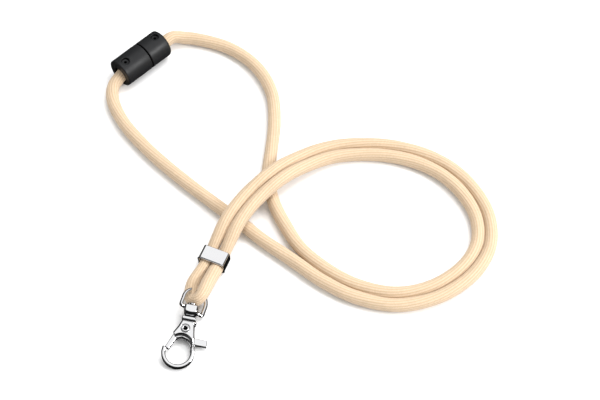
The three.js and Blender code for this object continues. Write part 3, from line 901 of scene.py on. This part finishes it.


# ------------------------------------------------------------------------------- trigger hook
# A chromed zinc casting: a headed post that turns in the eye, a collar, two cheeks that widen
# into an open ring, and between the cheeks the slot in which the lever works. The groove under
# the collar and the post in the gap above it are given painted shade, a near-black metal.

# The post stands up along Y from the neck, through the collar and the eye's boss.
POST_FOOT, POST_TOP = -0.0040, 0.0022
POST_HEAD_RADIUS = 0.0020
POST_HEAD_FROM, POST_HEAD_TO = 0.00185, 0.00265
POST_HEAD_EDGE = 0.00035
COLLAR_HALF_WIDTH, COLLAR_HALF_DEPTH = 0.0028, 0.0018
COLLAR_TOP = -0.0033
COLLAR_LENGTH = 0.0012
COLLAR_CORNER = 0.0004
COLLAR_EDGE = 0.0003
NECK_HALF_WIDTH, NECK_HALF_DEPTH = 0.00235, 0.0010
NECK_FOOT, NECK_TOP = -0.0060, -0.0042
STEM_FILLET = 0.0002
GROOVE_HALF_WIDTH, GROOVE_HALF_DEPTH = 0.0032, 0.0016
GROOVE_BOTTOM = -0.0054

# The cheeks' outline runs down into the ring. Their inner side is the ring's opening with a
# narrower crown at its top, which lies lower in the back cheek than in the front one.
RING_X, RING_Y = -0.0015, -0.0185
RING_OUTER = 0.0065
RING_INNER = 0.0049
RING_HALF, CHEEK_HALF = 0.0013, 0.0024
RING_EDGE, CHEEK_EDGE = 0.0006, 0.0009
THICKENS_FROM, THICK_AT, EDGE_FULL_AT = -0.019, -0.012, -0.013
CHEEK_FILLET = 0.0002
CROWN_X, CROWN_Y, CROWN_RADIUS = -0.0010, -0.0154, 0.0041
CROWN_FILLET = 0.0005
BACK_CROWN_DROP = 0.0012
CROWN_STEP_HALF = 0.0012
CHEEKS = [
    (0.0025, -0.0051),
    (0.0033, -0.0053),
    (0.0033, -0.0059),
    (0.0028, -0.0064),
    (0.0032, -0.0086),
    (0.0040, -0.0126),
    (0.0049, -0.0175),
    (-0.0079, -0.0173),
    (-0.00505, -0.0109),
    (-0.0036, -0.0082),
    (-0.0025, -0.0051),
]

# The lever turns on the rivet. Its arm, from the shoulder out to the gate's reach, closes the
# ring between the gate's two angles and swings inwards through the cleared way.
RIVET_X, RIVET_Y = -0.0005, -0.0086
RIVET_RADIUS = 0.0009
RIVET_HEAD = 0.0015
RIVET_HEAD_GAP = 0.0003
RIVET_SEAT = 0.0019
RUNNING_GAP = 0.0003
LEVER_HALF = 0.00085
LEVER_BOSS = 0.0023
SLOT_FOOT = -0.0150
SLOT_EDGE = 0.00015
SHOULDER_REACH = 0.00495
GATE_REACH = 0.01055
GATE_OUTER_ANGLE = radians(-128)
GATE_INNER_ANGLE = radians(-118)
GATE_MARGIN = radians(30)
GATE_EDGE = 0.0002
HOOK_BOX = ((-0.0081, -0.0251, -0.0028), (0.0052, 0.0028, 0.0028))

# Painted shade: a near-black metal stands in for the shade in the groove under the collar, on
# the post above it and in the rivet's hollow.
METAL_SHADE_COLOUR = (0.02, 0.02, 0.02, 1)
painted_shade_metal = grained_material(
    "metal_painted_shade", {"Base Color": METAL_SHADE_COLOUR, "Metallic": 1.0},
    size=0.0002, amount=0.2, roughness=0.5, relief=0.00001,
)


def outline(x, y, corners):
    """Distance in the plane to a closed outline with straight sides."""
    nearest, inside = np.inf, False
    for (ax, ay), (bx, by) in zip(corners, corners[1:] + corners[:1]):
        run, rise = bx - ax, by - ay
        along = np.clip(((x - ax) * run + (y - ay) * rise) / (run**2 + rise**2), 0, 1)
        nearest = np.minimum(nearest, np.hypot(x - ax - along * run, y - ay - along * rise))
        if rise:
            inside = inside ^ (((ay > y) != (by > y)) & (x < ax + (y - ay) * run / rise))
    return np.where(inside, -nearest, nearest)


def disc(x, y, centre_x, centre_y, radius):
    """Distance in the plane to a round disc."""
    return np.hypot(x - centre_x, y - centre_y) - radius


def cheeks_distance(x, y, z):
    """The two cheeks and the ring, with the slot, the gate's way and the rivet's seats cut."""
    half = np.interp(y, (THICKENS_FROM, THICK_AT), (RING_HALF, CHEEK_HALF))
    edge = np.interp(y, (THICKENS_FROM, EDGE_FULL_AT), (RING_EDGE, CHEEK_EDGE))
    ring = disc(x, y, RING_X, RING_Y, RING_OUTER)
    crown_y = np.interp(
        z, (-CROWN_STEP_HALF, CROWN_STEP_HALF), (CROWN_Y - BACK_CROWN_DROP, CROWN_Y)
    )
    crown = disc(x, y, CROWN_X, crown_y, CROWN_RADIUS)
    opening = either(disc(x, y, RING_X, RING_Y, RING_INNER), crown, CROWN_FILLET)
    flat = cut(either(outline(x, y, CHEEKS), ring, CHEEK_FILLET), opening, FINE_EDGE)
    cheeks = both(flat, np.abs(z) - half, edge)

    angle = np.arctan2(y - RIVET_Y, x - RIVET_X)
    reach = np.hypot(x - RIVET_X, y - RIVET_Y)
    beyond = reach * np.sin(angle - GATE_INNER_ANGLE)
    before = reach * np.sin(GATE_OUTER_ANGLE - GATE_MARGIN - angle)
    arm_reach = np.maximum(SHOULDER_REACH - reach, reach - GATE_REACH - RUNNING_GAP)
    way = np.maximum(np.maximum(beyond, before), arm_reach)
    slot = np.maximum(
        np.abs(z) - LEVER_HALF - RUNNING_GAP,
        slab(y, SLOT_FOOT, RIVET_Y + LEVER_BOSS + 2 * RUNNING_GAP),
    )
    hole = reach - RIVET_RADIUS - RUNNING_GAP
    seat = np.maximum(reach - RIVET_HEAD - RIVET_HEAD_GAP, RIVET_SEAT - np.abs(z))
    cheeks = cut(cut(cheeks, way, GATE_EDGE), slot, SLOT_EDGE)
    return cut(cut(cheeks, hole, FINE_EDGE), seat, FINE_EDGE)


def stem_distance(x, y, z):
    """The neck, the collar, and the round post with its head."""
    neck = np.maximum(np.abs(x) - NECK_HALF_WIDTH, np.abs(z) - NECK_HALF_DEPTH)
    neck = both(neck, slab(y, NECK_FOOT, NECK_TOP), FINE_EDGE)
    collar = both(np.abs(x) - COLLAR_HALF_WIDTH, np.abs(z) - COLLAR_HALF_DEPTH, COLLAR_CORNER)
    collar = both(collar, slab(y, COLLAR_TOP - COLLAR_LENGTH, COLLAR_TOP), COLLAR_EDGE)
    around = np.hypot(x, z)
    post = both(around - POST_RADIUS, slab(y, POST_FOOT, POST_TOP), FINE_EDGE)
    head = both(
        around - POST_HEAD_RADIUS, slab(y, POST_HEAD_FROM, POST_HEAD_TO), POST_HEAD_EDGE
    )
    return either(either(neck, collar, FINE_EDGE), either(post, head, FINE_EDGE), FINE_EDGE)


def hook_distance(x, y, z):
    """The whole casting: cheeks and ring with the stem on top."""
    return either(cheeks_distance(x, y, z), stem_distance(x, y, z), STEM_FILLET)


def in_groove(centre):
    """Whether a face gets painted shade: in the groove under the collar, or on the post above
    the collar.
    """
    if centre.y < COLLAR_TOP - COLLAR_LENGTH:
        in_width = abs(centre.x) < GROOVE_HALF_WIDTH
        return centre.y > GROOVE_BOTTOM and in_width and abs(centre.z) < GROOVE_HALF_DEPTH
    return COLLAR_TOP < centre.y < 0 and abs(centre.x) < POST_RADIUS + RUNNING_GAP


hook = chromed(
    "cast_hook_body", "hook_body", "hook", hook_distance, HOOK_BOX, METAL_CELL, hook_place
)
darken(hook, painted_shade_metal, hook_place, in_groove)


# -------------------------------------------------------------------------------- gate lever
# One lever, stamped from steel and chromed, that turns on the rivet between the cheeks. Its
# arm closes the ring, and the thumb tab that opens it stands out to the right.

LEVER_FILLET = 0.0004
LEVER_EDGE = 0.0003
LEVER_BOX = ((-0.0071, -0.0182, -0.0009), (0.0092, -0.0062, 0.0009))

# The outline goes from the boss round the thumb tab and down the arm's inner side, then over
# the arm's end, which is an arc about the rivet, and back up its outer side.
LEVER = [
    (0.0017, -0.0090),
    (0.0040, -0.0115),
    (0.0090, -0.0116),
    (0.0091, -0.0143),
    (0.0047, -0.0143),
    (0.0030, -0.0136),
    (0.0012, -0.0125),
    (-0.0012, -0.0119),
    (-0.0033, -0.0128),
]
for angle in (GATE_INNER_ANGLE, (GATE_INNER_ANGLE + GATE_OUTER_ANGLE) / 2, GATE_OUTER_ANGLE):
    LEVER.append((RIVET_X + GATE_REACH * cos(angle), RIVET_Y + GATE_REACH * sin(angle)))
LEVER += [(-0.0046, -0.01095), (-0.0026, -0.0094)]


def lever_distance(x, y, z):
    """A flat lever with a round boss, bored for the rivet."""
    boss = disc(x, y, RIVET_X, RIVET_Y, LEVER_BOSS)
    hole = disc(x, y, RIVET_X, RIVET_Y, RIVET_RADIUS + RUNNING_GAP)
    flat = cut(either(outline(x, y, LEVER), boss, LEVER_FILLET), hole, FINE_EDGE)
    return both(flat, np.abs(z) - LEVER_HALF, LEVER_EDGE)


chromed(
    "gate_lever_finished", "gate_lever", "gate", lever_distance, LEVER_BOX, METAL_CELL,
    hook_place,
)


# -------------------------------------------------------------------------------------- rivet
# A short hollow rivet of chromed steel, put through the cheeks and the lever and set from
# both sides. The lever turns on it. Its hollow is given painted shade, a near-black metal.

RIVET_UNDER = 0.0020
RIVET_OVER = 0.0027
RIVET_HEAD_EDGE = 0.0003
SHANK_OVERLAP = 0.0001
SHANK_FILLET = 0.00005
DIMPLE_RADIUS = 0.00080
DIMPLE_DEPTH = 0.0024
DIMPLE_EDGE = 0.00025
# The painted shade fills the hollow out to this radius and up to this height.
DARK_RADIUS = DIMPLE_RADIUS * 1.1
DARK_TOP = RIVET_OVER - DIMPLE_RADIUS / 3
RIVET_BOX = ((-0.0023, -0.0104, -0.0030), (0.0013, -0.0068, 0.0030))
RIVET_CELL = 0.0001


def rivet_distance(x, y, z):
    """A shank with a head at each end, hollow from the upper side."""
    around = np.hypot(x - RIVET_X, y - RIVET_Y)
    shank = np.maximum(around - RIVET_RADIUS, np.abs(z) - RIVET_UNDER - SHANK_OVERLAP)
    heads = both(around - RIVET_HEAD, slab(np.abs(z), RIVET_UNDER, RIVET_OVER), RIVET_HEAD_EDGE)
    dimple = np.maximum(around - DIMPLE_RADIUS, RIVET_OVER - DIMPLE_DEPTH - z)
    return cut(either(shank, heads, SHANK_FILLET), dimple, DIMPLE_EDGE)


def in_dimple(centre):
    """Whether a face gets painted shade: inside the rivet's hollow, below its bright rim."""
    off_axis = (centre.xy - Vector((RIVET_X, RIVET_Y))).length
    return off_axis < DARK_RADIUS and 0 < centre.z < DARK_TOP


rivet = chromed(
    "set_rivet", "rivet", "hook", rivet_distance, RIVET_BOX, RIVET_CELL, hook_place
)
darken(rivet, painted_shade_metal, hook_place, in_dimple)
